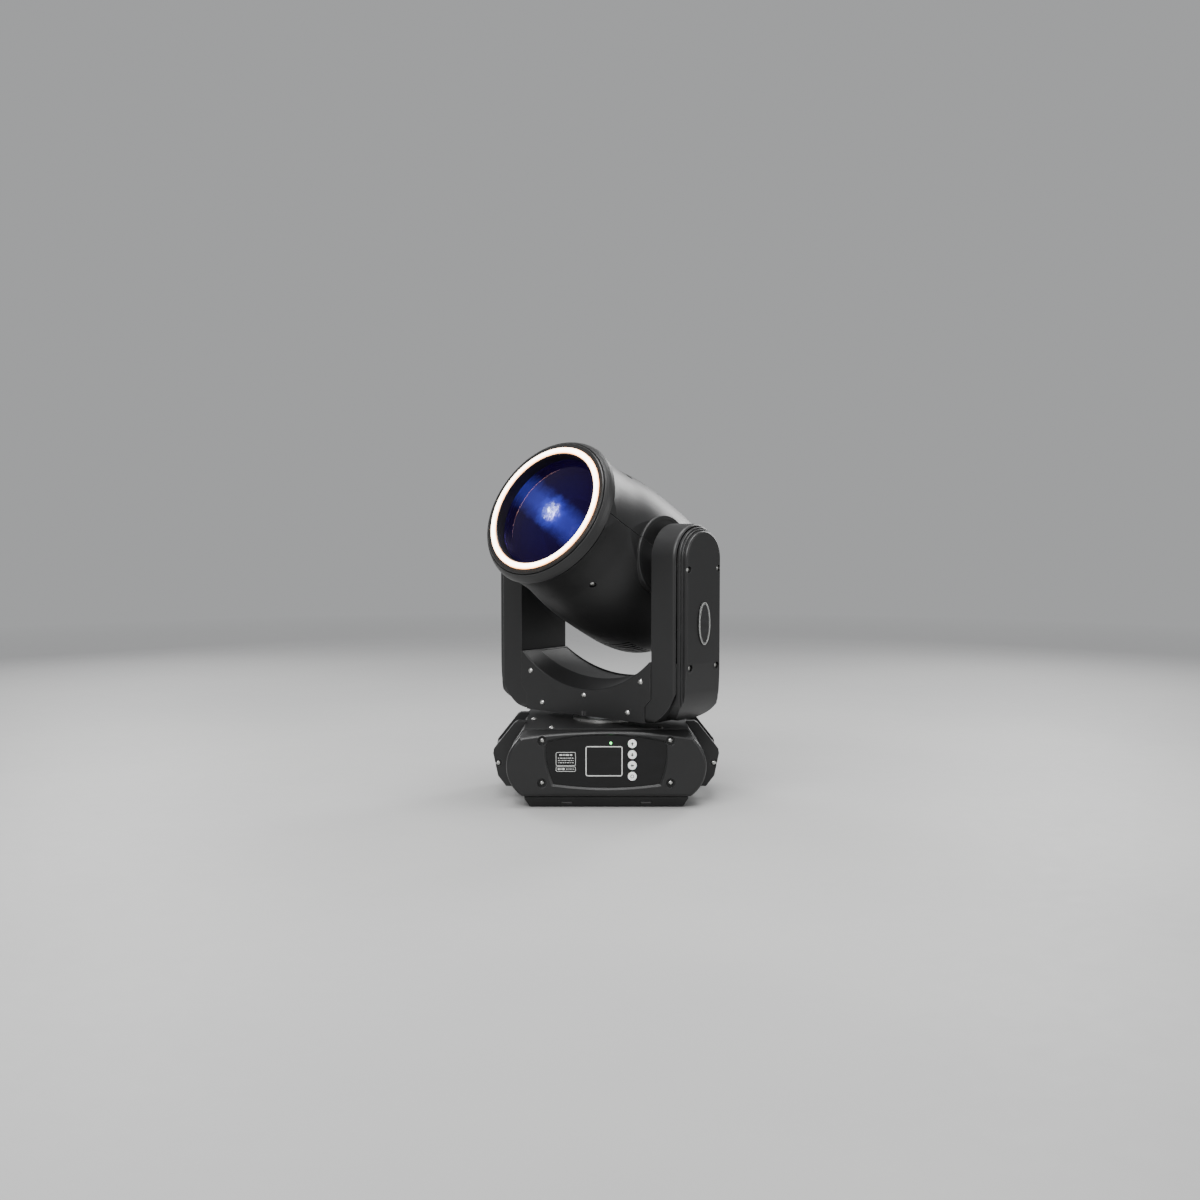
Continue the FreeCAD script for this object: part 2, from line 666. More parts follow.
def power_socket(at):
    """Locking mains socket: deep round cup with two side keys."""
    x, z = at
    face = REAR_PANEL_Y + WALL
    body = socket_shell(at, 24.0)
    radius, depth = POWER_CUP
    cup = cylinder(radius, V(x, face - depth, z), Y_AXIS, FAR)
    keyway = box((x - 11, x + 11), (face - 10, face + 10), (z - 1.6, z + 1.6))
    return body.cut(cup).cut(keyway)


def data_socket(at, male):
    """Three-pole data socket: pins in a cup, or a faced insert with three holes."""
    x, z = at
    face = REAR_PANEL_Y + WALL
    body = socket_shell(at, 20.0)
    radius, depth = DATA_CUP
    spots = [V(x, 0, z) + radial(t) * PIN_CIRCLE_R for t in (150, 30, 270)]
    if male:
        body = body.cut(cylinder(radius, V(x, face - depth, z), Y_AXIS, FAR))
        pins = [cylinder(PIN_R, s + V(0, face - depth - 1, 0), Y_AXIS, depth) for s in spots]
        return fuse([body] + pins)
    body = body.cut(tube(*DATA_RING_R, V(x, face - 8, z), Y_AXIS, FAR))
    for spot in spots:
        body = body.cut(cylinder(PIN_HOLE_R, spot + V(0, face - depth, 0), Y_AXIS, FAR))
    return body


def fuse_holder():
    x, z = FUSE_AT
    face = REAR_PANEL_Y + WALL
    barrel = cylinder(FUSE_R, V(x, face - 26, z), Y_AXIS, 27)
    cap = cylinder(FUSE_CAP_R, V(x, face, z), Y_AXIS, 4.0)
    cap = rounded(cap, 0.8, on_plane("y", face + 4.0))
    slot = box((x - 5, x + 5), (face + 3.0, face + 6), (z - 0.8, z + 0.8))
    return fuse([barrel, cap]).cut(slot)


def switch_frame():
    """Moulded collar of the rear panel that the mains rocker turns in."""
    x, z = SWITCH_AT
    face = REAR_PANEL_Y + WALL
    hx, hz = SWITCH_HALF
    flange = box((x - hx - 1.5, x + hx + 1.5), (face, face + 1.6), (z - hz - 1.5, z + hz + 1.5))
    body = box((x - hx, x + hx), (face - 16, face + 1), (z - hz, z + hz))
    room = box((x - hx + 1.4, x + hx - 1.4), (face - 9, face + 3), (z - hz + 1.2, z + hz - 1.2))
    return fuse([flange, body]).cut(room)


def power_rocker():
    """Mains rocker on its cross axis, stored with its lower half pressed in."""
    x, z = SWITCH_AT
    pivot_y = REAR_PANEL_Y + WALL - ROCKER_DEPTH
    hx = SWITCH_HALF[0] - 1.7
    items = [(pivot_y - 1.0, z - 6.0), (pivot_y + 5.2, z - 8.0),
             ((pivot_y + 4.0, z), (pivot_y + 5.2, z + 8.0)),
             (pivot_y - 1.0, z + 6.0)]
    rocker = prism(items, plane_yz(x - hx), V(2 * hx, 0, 0))
    return rocker.rotated(V(x, pivot_y, z), X_AXIS, -ROCKER_TILT)


def power_supply():
    """Enclosed power supply beside the pan drive."""
    (x0, x1), (y0, y1) = SUPPLY_X, SUPPLY_Y
    low = PLINTH_TOP_Z + 1
    case = box(SUPPLY_X, SUPPLY_Y, (low, SUPPLY_TOP_Z))
    for y in range(-58, 56, 8):
        case = case.cut(box((x0 + 4, x1 - 4), (y, y + 3), (SUPPLY_TOP_Z - 2, SUPPLY_TOP_Z + 2)))
    hollow = box((x0 + 2, x1 - 2), (y0 + 2, y1 - 2), (low + 2, SUPPLY_TOP_Z - 2))
    transformer = box((x0 + 14, x1 - 14), (-20, 20), (low + 1, SUPPLY_TOP_Z - 16))
    return fuse([case.cut(hollow), transformer])


def pan_motor():
    motor = stepper(MOTOR_SIZE, MOTOR_SIZE, MOTOR_SHAFT_R, 26.0)
    seat = cylinder(12.0, V(0, 0, -1), Z_AXIS, 3)
    return fuse([motor, seat]).translated(V(PAN_MOTOR_AT[0], PAN_MOTOR_AT[1], PAN_MOTOR_Z))


def drive_pulley(radius, bore, length):
    """Small flanged belt pulley along +Z with its bore."""
    core = cylinder(radius, V(0, 0, 0), Z_AXIS, length)
    flanges = [cylinder(radius + PULLEY_RIM, V(0, 0, z), Z_AXIS, RIM_THICK) for z in (-1.4, length + 0.2)]
    hub = cylinder(radius * 0.7, V(0, 0, -1.4), Z_AXIS, length + 3)
    return fuse([core, hub] + flanges).cut(cylinder(bore, V(0, 0, -3), Z_AXIS, length + 6))


def pan_motor_pulley():
    low, high = PAN_BELT_Z
    pulley = drive_pulley(PAN_MOTOR_PULLEY_R, MOTOR_SHAFT_R + FIT, high - low)
    return pulley.translated(V(PAN_MOTOR_AT[0], PAN_MOTOR_AT[1], low))


def pan_belt():
    low, high = PAN_BELT_Z
    return belt((0.0, 0.0), PAN_PULLEY_R, PAN_MOTOR_AT, PAN_MOTOR_PULLEY_R,
                plane_xy(low + 0.5), V(0, 0, high - low - 1.0))


def pan_bearing():
    """Bearing ring seated in the top cover; its flange shows under the yoke."""
    sleeve = tube(TOP_BORE_R - 0.2, PAN_SHAFT_R + FIT, V(0, 0, 96), Z_AXIS, 11)
    flange = tube(PAN_FLANGE_R, PAN_SHAFT_R + FIT, V(0, 0, BASE_TOP_Z + 0.1), Z_AXIS, 3.2)
    return fuse([sleeve, flange])


# ---------------------------------------------------------------- yoke
def pan_shaft():
    """Hollow pan shaft with the belt wheel below and the yoke flange above."""
    low, high = PAN_BELT_Z
    barrel = tube(PAN_SHAFT_R, PAN_BORE_R, V(0, 0, low - 6), Z_AXIS, FRAME_FLOOR_Z - 0.6 - low + 6)
    wheel = tube(PAN_PULLEY_R, PAN_BORE_R, V(0, 0, low), Z_AXIS, high - low)
    rims = [tube(PAN_PULLEY_R + 2.6, PAN_BORE_R, V(0, 0, z), Z_AXIS, RIM_THICK)
            for z in (low - 1.4, high + 0.2)]
    web = tube(PAN_PULLEY_R - 2, PAN_BORE_R, V(0, 0, low - 1.4), Z_AXIS, high - low + 2.8)
    flange = tube(PAN_FLANGE_R, PAN_BORE_R, V(0, 0, COVER_BOTTOM_Z + 1.0), Z_AXIS, 4.3)
    return fuse([barrel, wheel, web, flange] + rims)


def frame_slot():
    """Room for the frame's floor and knees where they pass through the end walls."""
    across = (-FRAME_HALF_V - 0.5, FRAME_HALF_V + 0.5)
    low = box((99, 112), across, (FRAME_FLOOR_Z - 0.6, FRAME_FLOOR_Z + 4.0))
    knee = box((111, 124), across, (FRAME_FLOOR_Z - 0.6, FRAME_FLOOR_Z + 12.0))
    right = fuse([low, knee])
    return fuse([right, mirrored_x(right)])


def yoke_frame():
    """Bent steel frame: floor, slanted knees and two uprights, with bearing seats."""
    t = FRAME_THICK
    floor, roof = FRAME_FLOOR_Z, FRAME_TOP_Z
    outer = [(0.0, floor), (FRAME_KNEE_U, floor), (FRAME_U + t, floor + 40.0), (FRAME_U + t, roof)]
    inner = [(FRAME_U, roof), (FRAME_U, floor + 41.0), (FRAME_KNEE_U - 1.4, floor + t), (0.0, floor + t)]
    half = prism(outer + inner, plane_xz(-FRAME_HALF_V), V(0, 2 * FRAME_HALF_V, 0))
    ear = cylinder(FRAME_HALF_V, V(FRAME_U, 0, TILT_Z), X_AXIS, t)
    frame = fuse([half, ear, mirrored_x(half), mirrored_x(ear)])
    frame = frame.cut(cylinder(PAN_BORE_R, V(0, 0, 110), Z_AXIS, 20))
    frame = frame.cut(cylinder(TILT_BEARING_R + FIT, V(-FAR, 0, TILT_Z), X_AXIS, 2 * FAR))
    return frame.cut(cylinder(12.0, V(100, 0, TILT_MOTOR_Z), X_AXIS, 100))


def cover_profile(trough_z, inset=0.0):
    """Front view of the block between the arms; the concave trough dips to trough_z."""
    u = COVER_HALF_U - inset
    foot = FOOT_U - GAP - inset
    base_z = COVER_BOTTOM_Z + inset
    knee_z = KNEE_Z + inset / 2
    side_z = SIDE_Z + inset / 2
    end_u = TROUGH_END[0] - inset
    end_z = TROUGH_END[1] - inset
    return [(-foot, base_z), (foot, base_z), (foot, knee_z), (u, side_z), (u, end_z), (end_u, end_z),
            ((0.0, trough_z - inset), (-end_u, end_z)), (-u, end_z), (-u, side_z), (-foot, knee_z)]


def cover_screw_places():
    places = []
    for side in (-1, 1):
        places += [(V(u, side * COVER_HALF_V, z), V(0, side, 0)) for u, z in COVER_SCREWS]
    return places


def drilled(cover):
    for point, direction in cover_screw_places():
        cover = cover.cut(screw_hole(point, direction))
    return cover.cut(cylinder(PAN_FLANGE_R + 1, V(0, 0, 100), Z_AXIS, 20)).cut(frame_slot())


def lip_rounded(block, y):
    """Round the long trough edge that lies on the face at y."""
    lip = [e for e in block.Edges if on_plane("y", y)(e) and e.Length > 200 and e.CenterOfMass.z > 140]
    return block.makeFillet(2.0, lip)


def yoke_front_cover():
    """Front moulding, its trough lip sloping up from the front face to the seam."""
    def sloped(front_y, inset):
        return Part.makeLoft([outline(cover_profile(TROUGH_FRONT_Z, inset), plane_xz(front_y)),
                              outline(cover_profile(TROUGH_FLOOR_Z, inset), plane_xz(TROUGH_SPLIT_V))],
                             True, True)

    block = lip_rounded(sloped(-COVER_HALF_V, 0.0), -COVER_HALF_V)
    return drilled(block.cut(sloped(-COVER_HALF_V + WALL, WALL)))


def yoke_rear_cover():
    """Rear moulding: a thin rim against the seam, the sunk trough floor and the rear lip."""
    start = TROUGH_SPLIT_V + GAP
    depth = COVER_HALF_V - start
    block = prism(cover_profile(TROUGH_FLOOR_Z), plane_xz(start), V(0, depth, 0))
    block = lip_rounded(block, COVER_HALF_V)
    end_u = TROUGH_END[0] - TROUGH_SUNK
    end_z = TROUGH_END[1] - TROUGH_SUNK
    floor = [(-end_u, end_z), ((0.0, TROUGH_FLOOR_Z - TROUGH_SUNK), (end_u, end_z)), (end_u, 260.0),
             (-end_u, 260.0)]
    sunk = prism(floor, plane_xz(start + TROUGH_RIM), V(0, depth - TROUGH_RIM - WALL, 0))
    hollow = prism(cover_profile(TROUGH_FLOOR_Z - TROUGH_SUNK, WALL), plane_xz(start),
                   V(0, depth - WALL, 0))
    return drilled(block.cut(sunk).cut(hollow))


def arm_outline(inset, corner, foot):
    """Side view of an arm: arched top, straight sides, rounded foot."""
    half = ARM_HALF_V - inset
    top = ARM_TOP_Z - ARM_HALF_V
    low = COVER_BOTTOM_Z + foot
    bend = corner * (1 - math.sqrt(0.5))
    return [(-half, low + corner), (-half, top), ((0.0, top + half), (half, top)), (half, low + corner),
            ((half - bend, low + bend), (half - corner, low)), (-half + corner, low),
            ((-half + bend, low + bend), (-half, low + corner))]


def arm_slab(inset, start, end, corner, fillet=0.0, foot=None):
    items = arm_outline(inset, corner, inset if foot is None else foot)
    slab = prism(items, plane_yz(start), V(end - start, 0, 0))
    if fillet:
        slab = rounded(slab, fillet, on_plane("x", end))
    return slab


def arm_front(outset, inset=0.0):
    """Front view of an arm: foot stepped in under the cover and the big outer corner."""
    edge = ARM_EDGE_U + outset
    straight_z, curve_z = ARM_BEND_Z
    belly = (140.8 + 0.72 * outset, 128.6 - 0.72 * outset)
    items = [(ARM_INNER_U, 2 * FAR), (edge, 2 * FAR), (edge, straight_z), (edge - 2.5, curve_z),
             (belly, (116.0, COVER_BOTTOM_Z)), (FOOT_U, COVER_BOTTOM_Z), (FOOT_U, KNEE_Z - 0.2),
             (ARM_INNER_U, SIDE_Z - 0.2)]
    return prism(items, plane_xz(-60), V(0, 120, 0), -inset)


def arm_shell():
    """Right arm shell, closed towards the head and open towards its side panel."""
    outer = fuse([arm_slab(0.0, FOOT_U - 1, ARM_SHELL_U, 8.0, 5.0)]).common(arm_front(0.0))
    room = arm_slab(WALL, ARM_INNER_U - 9, ARM_SHELL_U + 20, 6.0).common(arm_front(0.0, WALL))
    shell = outer.cut(room).cut(frame_slot())
    return shell.cut(cylinder(TILT_SHAFT_R + 2, V(100, 0, TILT_Z), X_AXIS, 40))


def arm_side_panel():
    """Outer panel: a bordered arched plate with a raised field and four screw recesses."""
    steps = [arm_slab(inset, ARM_INNER_U, outer, corner, fillet, PANEL_FOOT)
             for inset, outer, corner, fillet in PANEL_STEPS]
    rooms = [arm_slab(inset + WALL, ARM_INNER_U, outer - WALL, corner - WALL, 0.0, PANEL_FOOT + WALL)
             for inset, outer, corner, _ in PANEL_STEPS]
    room = fuse(rooms).common(arm_front(PANEL_OUTSET - WALL))
    shell_room = arm_front(GAP).common(box((0, ARM_SHELL_U + GAP), (-60, 60), (90, 400)))
    skin = fuse(steps).common(arm_front(PANEL_OUTSET)).cut(room)
    hull = steps[-1]
    bosses = [cylinder(BOSS_R, V(163.2, v, z), X_AXIS, 10).common(hull) for v, z in PANEL_SCREWS]
    panel = fuse([skin] + bosses).cut(shell_room)
    for point, direction in panel_screw_places(1):
        panel = panel.cut(screw_hole(point, direction, *PANEL_RECESS))
    return panel


def panel_screw_places(side):
    return [(V(side * (ARM_OUTER_U - 4.0), v, z), V(side, 0, 0)) for v, z in PANEL_SCREWS]


def arm_badge():
    """Raised blank oval badge on the side panel."""
    half_v, half_z = BADGE_HALF
    ellipse = Part.Ellipse(V(0, 0, 0), half_z, half_v).toShape()
    plate = Part.Face(Part.Wire([ellipse])).extrude(V(0, 0, BADGE_THICK))
    plate = rounded(plate, 0.5, on_plane("z", BADGE_THICK))
    badge = plate.rotated(V(0, 0, 0), Y_AXIS, 90)
    return badge.translated(V(ARM_OUTER_U + 0.02, 0, BADGE_Z))


def tilt_motor():
    motor = stepper(MOTOR_SIZE, TILT_MOTOR_LENGTH, MOTOR_SHAFT_R, 13.0)
    seat = cylinder(11.0, V(0, 0, -1), Z_AXIS, 3)
    return aimed(fuse([motor, seat]), V(FRAME_U - 0.1, 0, TILT_MOTOR_Z), X_AXIS)


def tilt_motor_pulley():
    low, high = TILT_BELT_U
    return aimed(drive_pulley(TILT_MOTOR_PULLEY_R, MOTOR_SHAFT_R + FIT, high - low - 0.6),
                 V(low + 0.3, 0, TILT_MOTOR_Z), X_AXIS)


def tilt_belt():
    low, high = TILT_BELT_U
    return belt((0.0, TILT_Z), TILT_PULLEY_R, (0.0, TILT_MOTOR_Z), TILT_MOTOR_PULLEY_R,
                plane_yz(low + 0.8), V(high - low - 1.6, 0, 0))


def tilt_bearings():
    ring = tube(TILT_BEARING_R, TILT_SHAFT_R + FIT, V(FRAME_U - 3, 0, TILT_Z), X_AXIS, 8)
    return Part.makeCompound([ring, mirrored_x(ring)])


# ---------------------------------------------------------------- head
def head_curve(inset):
    """Solid inside the head's outer curve; with an inset it runs out past the front seam."""
    rear = HEAD_REAR_A + inset
    points = [V(r - inset, -a, 0) for a, r in HEAD_PROFILE if a > rear + 2 or not inset]
    if inset:
        points[0] = V(points[0].x, -SEAM_A - 1, 0)
        points.append(V(HEAD_PROFILE[-1][1] - 1, -rear, 0))
    curve = Part.BSplineCurve()
    curve.interpolate(points)
    front = points[0]
    back = points[-1]
    edges = [curve.toShape(),
             Part.makeLine(back, V(0, back.y, 0)),
             Part.makeLine(V(0, back.y, 0), V(0, front.y, 0)),
             Part.makeLine(V(0, front.y, 0), front)]
    return Part.Face(Part.Wire(edges)).revolve(V(0, 0, 0), Y_AXIS, 360)


def head_radius(a):
    """Radius of the head surface at a, between the profile points."""
    for (a1, r1), (a2, r2) in zip(HEAD_PROFILE, HEAD_PROFILE[1:]):
        if a2 <= a <= a1:
            return r1 + (r2 - r1) * (a - a1) / (a2 - a1)
    return HEAD_PROFILE[-1][1]


def head_screw_places():
    places = []
    for a, angle in HEAD_SCREWS:
        direction = radial(angle)
        seat = head_radius(a) - 3.6
        places.append((direction * seat + V(0, -a, 0), direction))
    return places


def head_shell():
    """Whole head casing before it is split: flat-sided barrel, hub bosses and rear vents."""
    slab = box((-HEAD_FLAT_U, HEAD_FLAT_U), (-FAR, FAR), (-FAR, FAR))
    inner_slab = box((-HEAD_FLAT_U + WALL, HEAD_FLAT_U - WALL), (-FAR, FAR), (-FAR, FAR))
    skin = head_curve(0.0).common(slab)
    room = head_curve(WALL).common(inner_slab)
    hub = cylinder(HUB_R, V(HEAD_FLAT_U - WALL - 2, 0, 0), X_AXIS, HUB_U - HEAD_FLAT_U + WALL + 2)
    hub = rounded(hub, 1.6, on_plane("x", HUB_U))
    hub = hub.cut(cylinder(HUB_R - HUB_RIM, V(HUB_U - 1, 0, 0), X_AXIS, 5))
    bosses = []
    for (a, angle), (seat, direction) in zip(HEAD_SCREWS, head_screw_places()):
        bosses.append(cylinder(BOSS_R, seat - direction * 9, direction, 11))
    shell = fuse([skin.cut(room)] + [b.common(skin) for b in bosses] + [hub, mirrored_x(hub)])
    shell = shell.cut(cylinder(TILT_SHAFT_R + 0.6, V(-FAR, 0, 0), X_AXIS, 2 * FAR))
    for seat, direction in head_screw_places():
        shell = shell.cut(screw_hole(seat, direction, 9.0))
    for vent in rear_vents():
        shell = shell.cut(vent)
    return shell.cut(seam_groove())


def seam_groove():
    """Ring cutter that opens the split between the two shells into a visible groove."""
    half = SEAM_GROOVE / 2
    band = box((-FAR, FAR), (-FAR, FAR), (SHELL_SPLIT_W - half, SHELL_SPLIT_W + half))
    flat = HEAD_FLAT_U - SEAM_GROOVE
    inside = head_curve(SEAM_GROOVE).common(box((-flat, flat), (-FAR, FAR), (-FAR, FAR)))
    hubs = cylinder(HUB_R - SEAM_GROOVE, V(-FAR, 0, 0), X_AXIS, 2 * FAR)
    return band.cut(inside).cut(hubs)


def rear_vents():
    """Straight louvre slots across the rear cap and rows of slots over the heat sink."""
    cuts = []
    for i in range(-4, 5):
        half = math.sqrt(VENT_REACH ** 2 - (i * VENT_PITCH) ** 2)
        w = (i + 0.5) * VENT_PITCH + SHELL_SPLIT_W
        cuts.append(box((-half, half), (150, 165), (w - VENT_HALF, w + VENT_HALF)))
    for side in (-1, 1):
        for i in range(SINK_SLOTS):
            a = -66.0 - i * SINK_SLOT_PITCH
            cuts.append(box((-34, 34), (-a - 1.7, -a + 1.7), tuple(sorted((side * 80, side * 125)))))
    return cuts


def head_upper_shell(shell):
    return shell.common(box((-FAR, FAR), (-FAR, FAR), (SHELL_SPLIT_W + GAP / 2, FAR)))


def head_lower_shell(shell):
    return shell.common(box((-FAR, FAR), (-FAR, FAR), (-FAR, SHELL_SPLIT_W - GAP / 2)))


def front_collar():
    """Separate collar ring between the shells and the bezel."""
    a = SEAM_A + SEAM_GROOVE
    return turned([(a, 97.4), (a, 102.8), (a + 1, 104.0), (a + 5, 103.2), (a + 9, 101.6), (a + 12, 99.8),
                   (a + 13.6, 98.6), (a + 13.6, 97.4)])


def front_bezel():
    """Bezel ring with the channel that holds the light ring."""
    front = BEZEL_FRONT_A
    return turned([(122.0, 80.0), (front - 0.6, 80.0), (front, 80.5), (front, 81.6), (131.3, 81.6),
                   (131.3, 89.9), (front, 89.9), (front, 95.4), (front - 1.2, BEZEL_R), (122.0, BEZEL_R),
                   (122.0, 94.0), (128.0, 92.0), (128.0, 82.5), (122.0, 82.0)])


def halo_ring():
    """Milky light ring, slightly proud of the bezel."""
    inner, outer = HALO_R
    front = HALO_FRONT_A
    return turned([(135.5, inner), (front - 0.8, inner), (front, inner + 0.8), (front, outer - 0.8),
                   (front - 0.8, outer), (135.5, outer)])


def halo_led_board():
    inner, outer = HALO_R
    board = turned([(131.5, inner), (133.0, inner), (133.0, outer), (131.5, outer)])
    mid = (inner + outer) / 2
    lamps = []
    for i in range(HALO_LAMPS):
        lamp = box((mid - 2, mid + 2), (-134.2, -132.8), (-2, 2))
        lamps.append(lamp.rotated(V(0, 0, 0), Y_AXIS, -i * 360.0 / HALO_LAMPS))
    return fuse([board] + lamps)


def lens_solid(radius, edge_a, edge_thick, front_rise, back_rise=0.0):
    """Lens with spherical faces, its rim from edge_a back by edge_thick."""
    back_a = edge_a - edge_thick
    lens = cylinder(radius, V(0, -edge_a - front_rise, 0), Y_AXIS, edge_thick + front_rise + back_rise)
    front_ball = (radius ** 2 + front_rise ** 2) / (2 * front_rise)
    lens = lens.common(Part.makeSphere(front_ball, V(0, front_ball - edge_a - front_rise, 0)))
    if back_rise:
        back_ball = (radius ** 2 + back_rise ** 2) / (2 * back_rise)
        lens = lens.common(Part.makeSphere(back_ball, V(0, back_rise - back_a - back_ball, 0)))
    return lens


def front_lens():
    return lens_solid(LENS_R, LENS_RIM_A, 4.0, 8.0)


def plate_at(a, half_u, half_w, thick):
    return box((-half_u, half_u), (-a - thick, -a), (-half_w, half_w))


def beam_hole(radius, u=0.0, w=0.0):
    return cylinder(radius, V(u, -FAR, w), Y_AXIS, 2 * FAR)


def optics_frame():
    """Frame that carries the light path: side plates, bulkheads, focus rods and lens barrel."""
    inner, outer = SIDE_PLATE_U
    wide = outer - 1
    sides = [box(tuple(sorted((s * inner, s * outer))), (-104, 60), (-34, 34)) for s in (-1, 1)]
    engine_wall = plate_at(-52, wide, 44, BULKHEAD).cut(beam_hole(19))
    motor_wall = plate_at(12, wide, 60, BULKHEAD).cut(beam_hole(24))
    front_disc = cylinder(BARREL_R, V(0, -86 - BULKHEAD, 0), Y_AXIS, BULKHEAD)
    front_wall = fuse([plate_at(86, wide, 34, BULKHEAD), front_disc]).cut(beam_hole(38))
    rods = [cylinder(ROD_R, V(s * ROD_U, -87, 0), Y_AXIS, 74) for s in (-1, 1)]
    barrel = turned([(86.0, 74.5), (120.0, 74.5), (122.2, 73.0), (122.2, 79.2), (116.0, 79.2),
                     (116.0, BARREL_R), (86.0, BARREL_R)])
    frame = fuse(sides + [engine_wall, motor_wall, front_wall, barrel] + rods)
    frame = frame.cut(cylinder(6.0, V(0, -20, WHEEL_OFFSET), Y_AXIS, 30))
    return frame.cut(cylinder(TILT_BORE_R, V(-100, 0, 0), X_AXIS, 200))


def tilt_wheel():
    """Belt wheel of the right tilt shaft, lightened by six round holes."""
    low, high = TILT_BELT_U
    wheel = tube(TILT_PULLEY_R, TILT_BORE_R, V(low, 0, 0), X_AXIS, high - low)
    rims = [tube(TILT_PULLEY_R + PULLEY_RIM, TILT_PULLEY_R - 3, V(u, 0, 0), X_AXIS, 0.9)
            for u in (low - 0.1, high - 0.8)]
    wheel = fuse([wheel] + rims)
    for i in range(6):
        arm = radial(i * 60.0) * 20.5
        wheel = wheel.cut(cylinder(5.0, V(low - 2, arm.x, arm.z), X_AXIS, 20))
    return wheel


def tilt_shafts():
    """Hollow flanged tilt shafts, one each side, the right one with the belt wheel on its end."""
    flange = tube(26.0, TILT_BORE_R, V(85.1, 0, 0), X_AXIS, 4)
    barrel = tube(TILT_SHAFT_R, TILT_BORE_R, V(87, 0, 0), X_AXIS, 154.0 - 87)
    shaft = fuse([flange, barrel])
    neck = tube(TILT_END_R, TILT_BORE_R, V(153, 0, 0), X_AXIS, TILT_BELT_U[1] + 1.5 - 153)
    return Part.makeCompound([fuse([shaft, neck, tilt_wheel()]), mirrored_x(shaft)])


def led_engine():
    """Light source: square copper-backed module with a condenser snout."""
    block = plate_at(-84, 34, 34, 26)
    snout = turned([(-59, 0), (-59, 22), (-50, 17.5), (-38, 17.5), (-36, 15.0), (-36, 0)])
    return fuse([block, snout])


def heatsink():
    """Finned block with a flat base against the light source."""
    half_u, half_w = SINK_HALF
    base = plate_at(-92, half_u, half_w, 7.5)
    fins = [box((u - 0.9, u + 0.9), SINK_Y, (-half_w, half_w)) for u in range(-45, 46, SINK_PITCH)]
    return fuse([base] + fins)


def fan_frame():
    body = box((-FAN_HALF, FAN_HALF), FAN_Y, (-FAN_HALF, FAN_HALF))
    body = body.makeFillet(6.0, along_y(body))
    body = body.cut(cylinder(FAN_BORE_R, V(0, FAN_Y[0] - 1, 0), Y_AXIS, 20))
    spoke_y = FAN_Y[1] - 2.0
    reach = FAN_BORE_R + 1
    spoke = box((-reach, reach), (spoke_y, FAN_Y[1]), (-1.5, 1.5))
    spokes = [spoke.rotated(V(0, 0, 0), Y_AXIS, t) for t in (0, 60, 120)]
    plate = cylinder(15.0, V(0, spoke_y, 0), Y_AXIS, 2)
    pin = cylinder(FAN_PIN_R, V(0, FAN_Y[0] + 3, 0), Y_AXIS, 13)
    return fuse([body, plate, pin] + spokes)


def fan_rotor():
    """Seven-blade rotor turning on the frame's pin."""
    hub = cylinder(14.0, V(0, 132, 0), Y_AXIS, 12)
    blades = []
    for i in range(FAN_BLADES):
        blade = box((10, 38.5), (133.5, 142.0), (-0.8, 0.8))
        blade = blade.rotated(V(24, 138, 0), X_AXIS, 32)
        blades.append(blade.rotated(V(0, 0, 0), Y_AXIS, i * 360.0 / FAN_BLADES))
    return fuse([hub] + blades).cut(cylinder(FAN_PIN_R + FIT, V(0, 120, 0), Y_AXIS, 30))


def effect_wheel(a, w):
    """Thin wheel with one open hole and seven seats round its rim."""
    disc = cylinder(WHEEL_R, V(0, -a, w), Y_AXIS, 1.5)
    hub = cylinder(7.0, V(0, -a - 2.0, w), Y_AXIS, 5.5)
    wheel = fuse([disc, hub])
    for i in range(WHEEL_HOLES):
        spot = radial(i * 360.0 / WHEEL_HOLES - math.copysign(90.0, w)) * WHEEL_OFFSET
        wheel = wheel.cut(cylinder(WHEEL_HOLE_R, spot + V(0, -a - 5, w), Y_AXIS, 10))
    return wheel.cut(cylinder(EFFECT_SHAFT_R + FIT, V(0, -a - 10, w), Y_AXIS, 20))


def effect_motors():
    """Steppers of the colour wheel (behind its wheel) and the pattern wheel (before its wheel)."""
    colour = stepper(*EFFECT_MOTOR, EFFECT_SHAFT_R, 16.0)
    colour = aimed(colour, V(0, 32.8, -WHEEL_OFFSET), V(0, -1, 0))
    pattern = stepper(*EFFECT_MOTOR, EFFECT_SHAFT_R, 28.0)
    pattern = aimed(pattern, V(0, -15.2, WHEEL_OFFSET), Y_AXIS)
    return Part.makeCompound([colour, pattern])


def focus_carriage():
    """Lens carriage sliding on the two rods."""
    length = CARRIAGE_LENGTH
    ring = tube(*CARRIAGE_R, V(0, -FOCUS_A, 0), Y_AXIS, length)
    ears = [cylinder(7.0, V(s * ROD_U, -FOCUS_A, 0), Y_AXIS, length) for s in (-1, 1)]
    links = [box(tuple(sorted((s * 34, s * ROD_U))), (-FOCUS_A, length - FOCUS_A), (-5, 5)) for s in (-1, 1)]
    body = fuse([ring] + ears + links)
    for s in (-1, 1):
        body = body.cut(cylinder(ROD_R + FIT, V(s * ROD_U, -FOCUS_A - 20, 0), Y_AXIS, 60))
    return body


def focus_lens():
    return lens_solid(FOCUS_LENS_R, FOCUS_A - 2.5, 5.0, 5.0, 2.0)


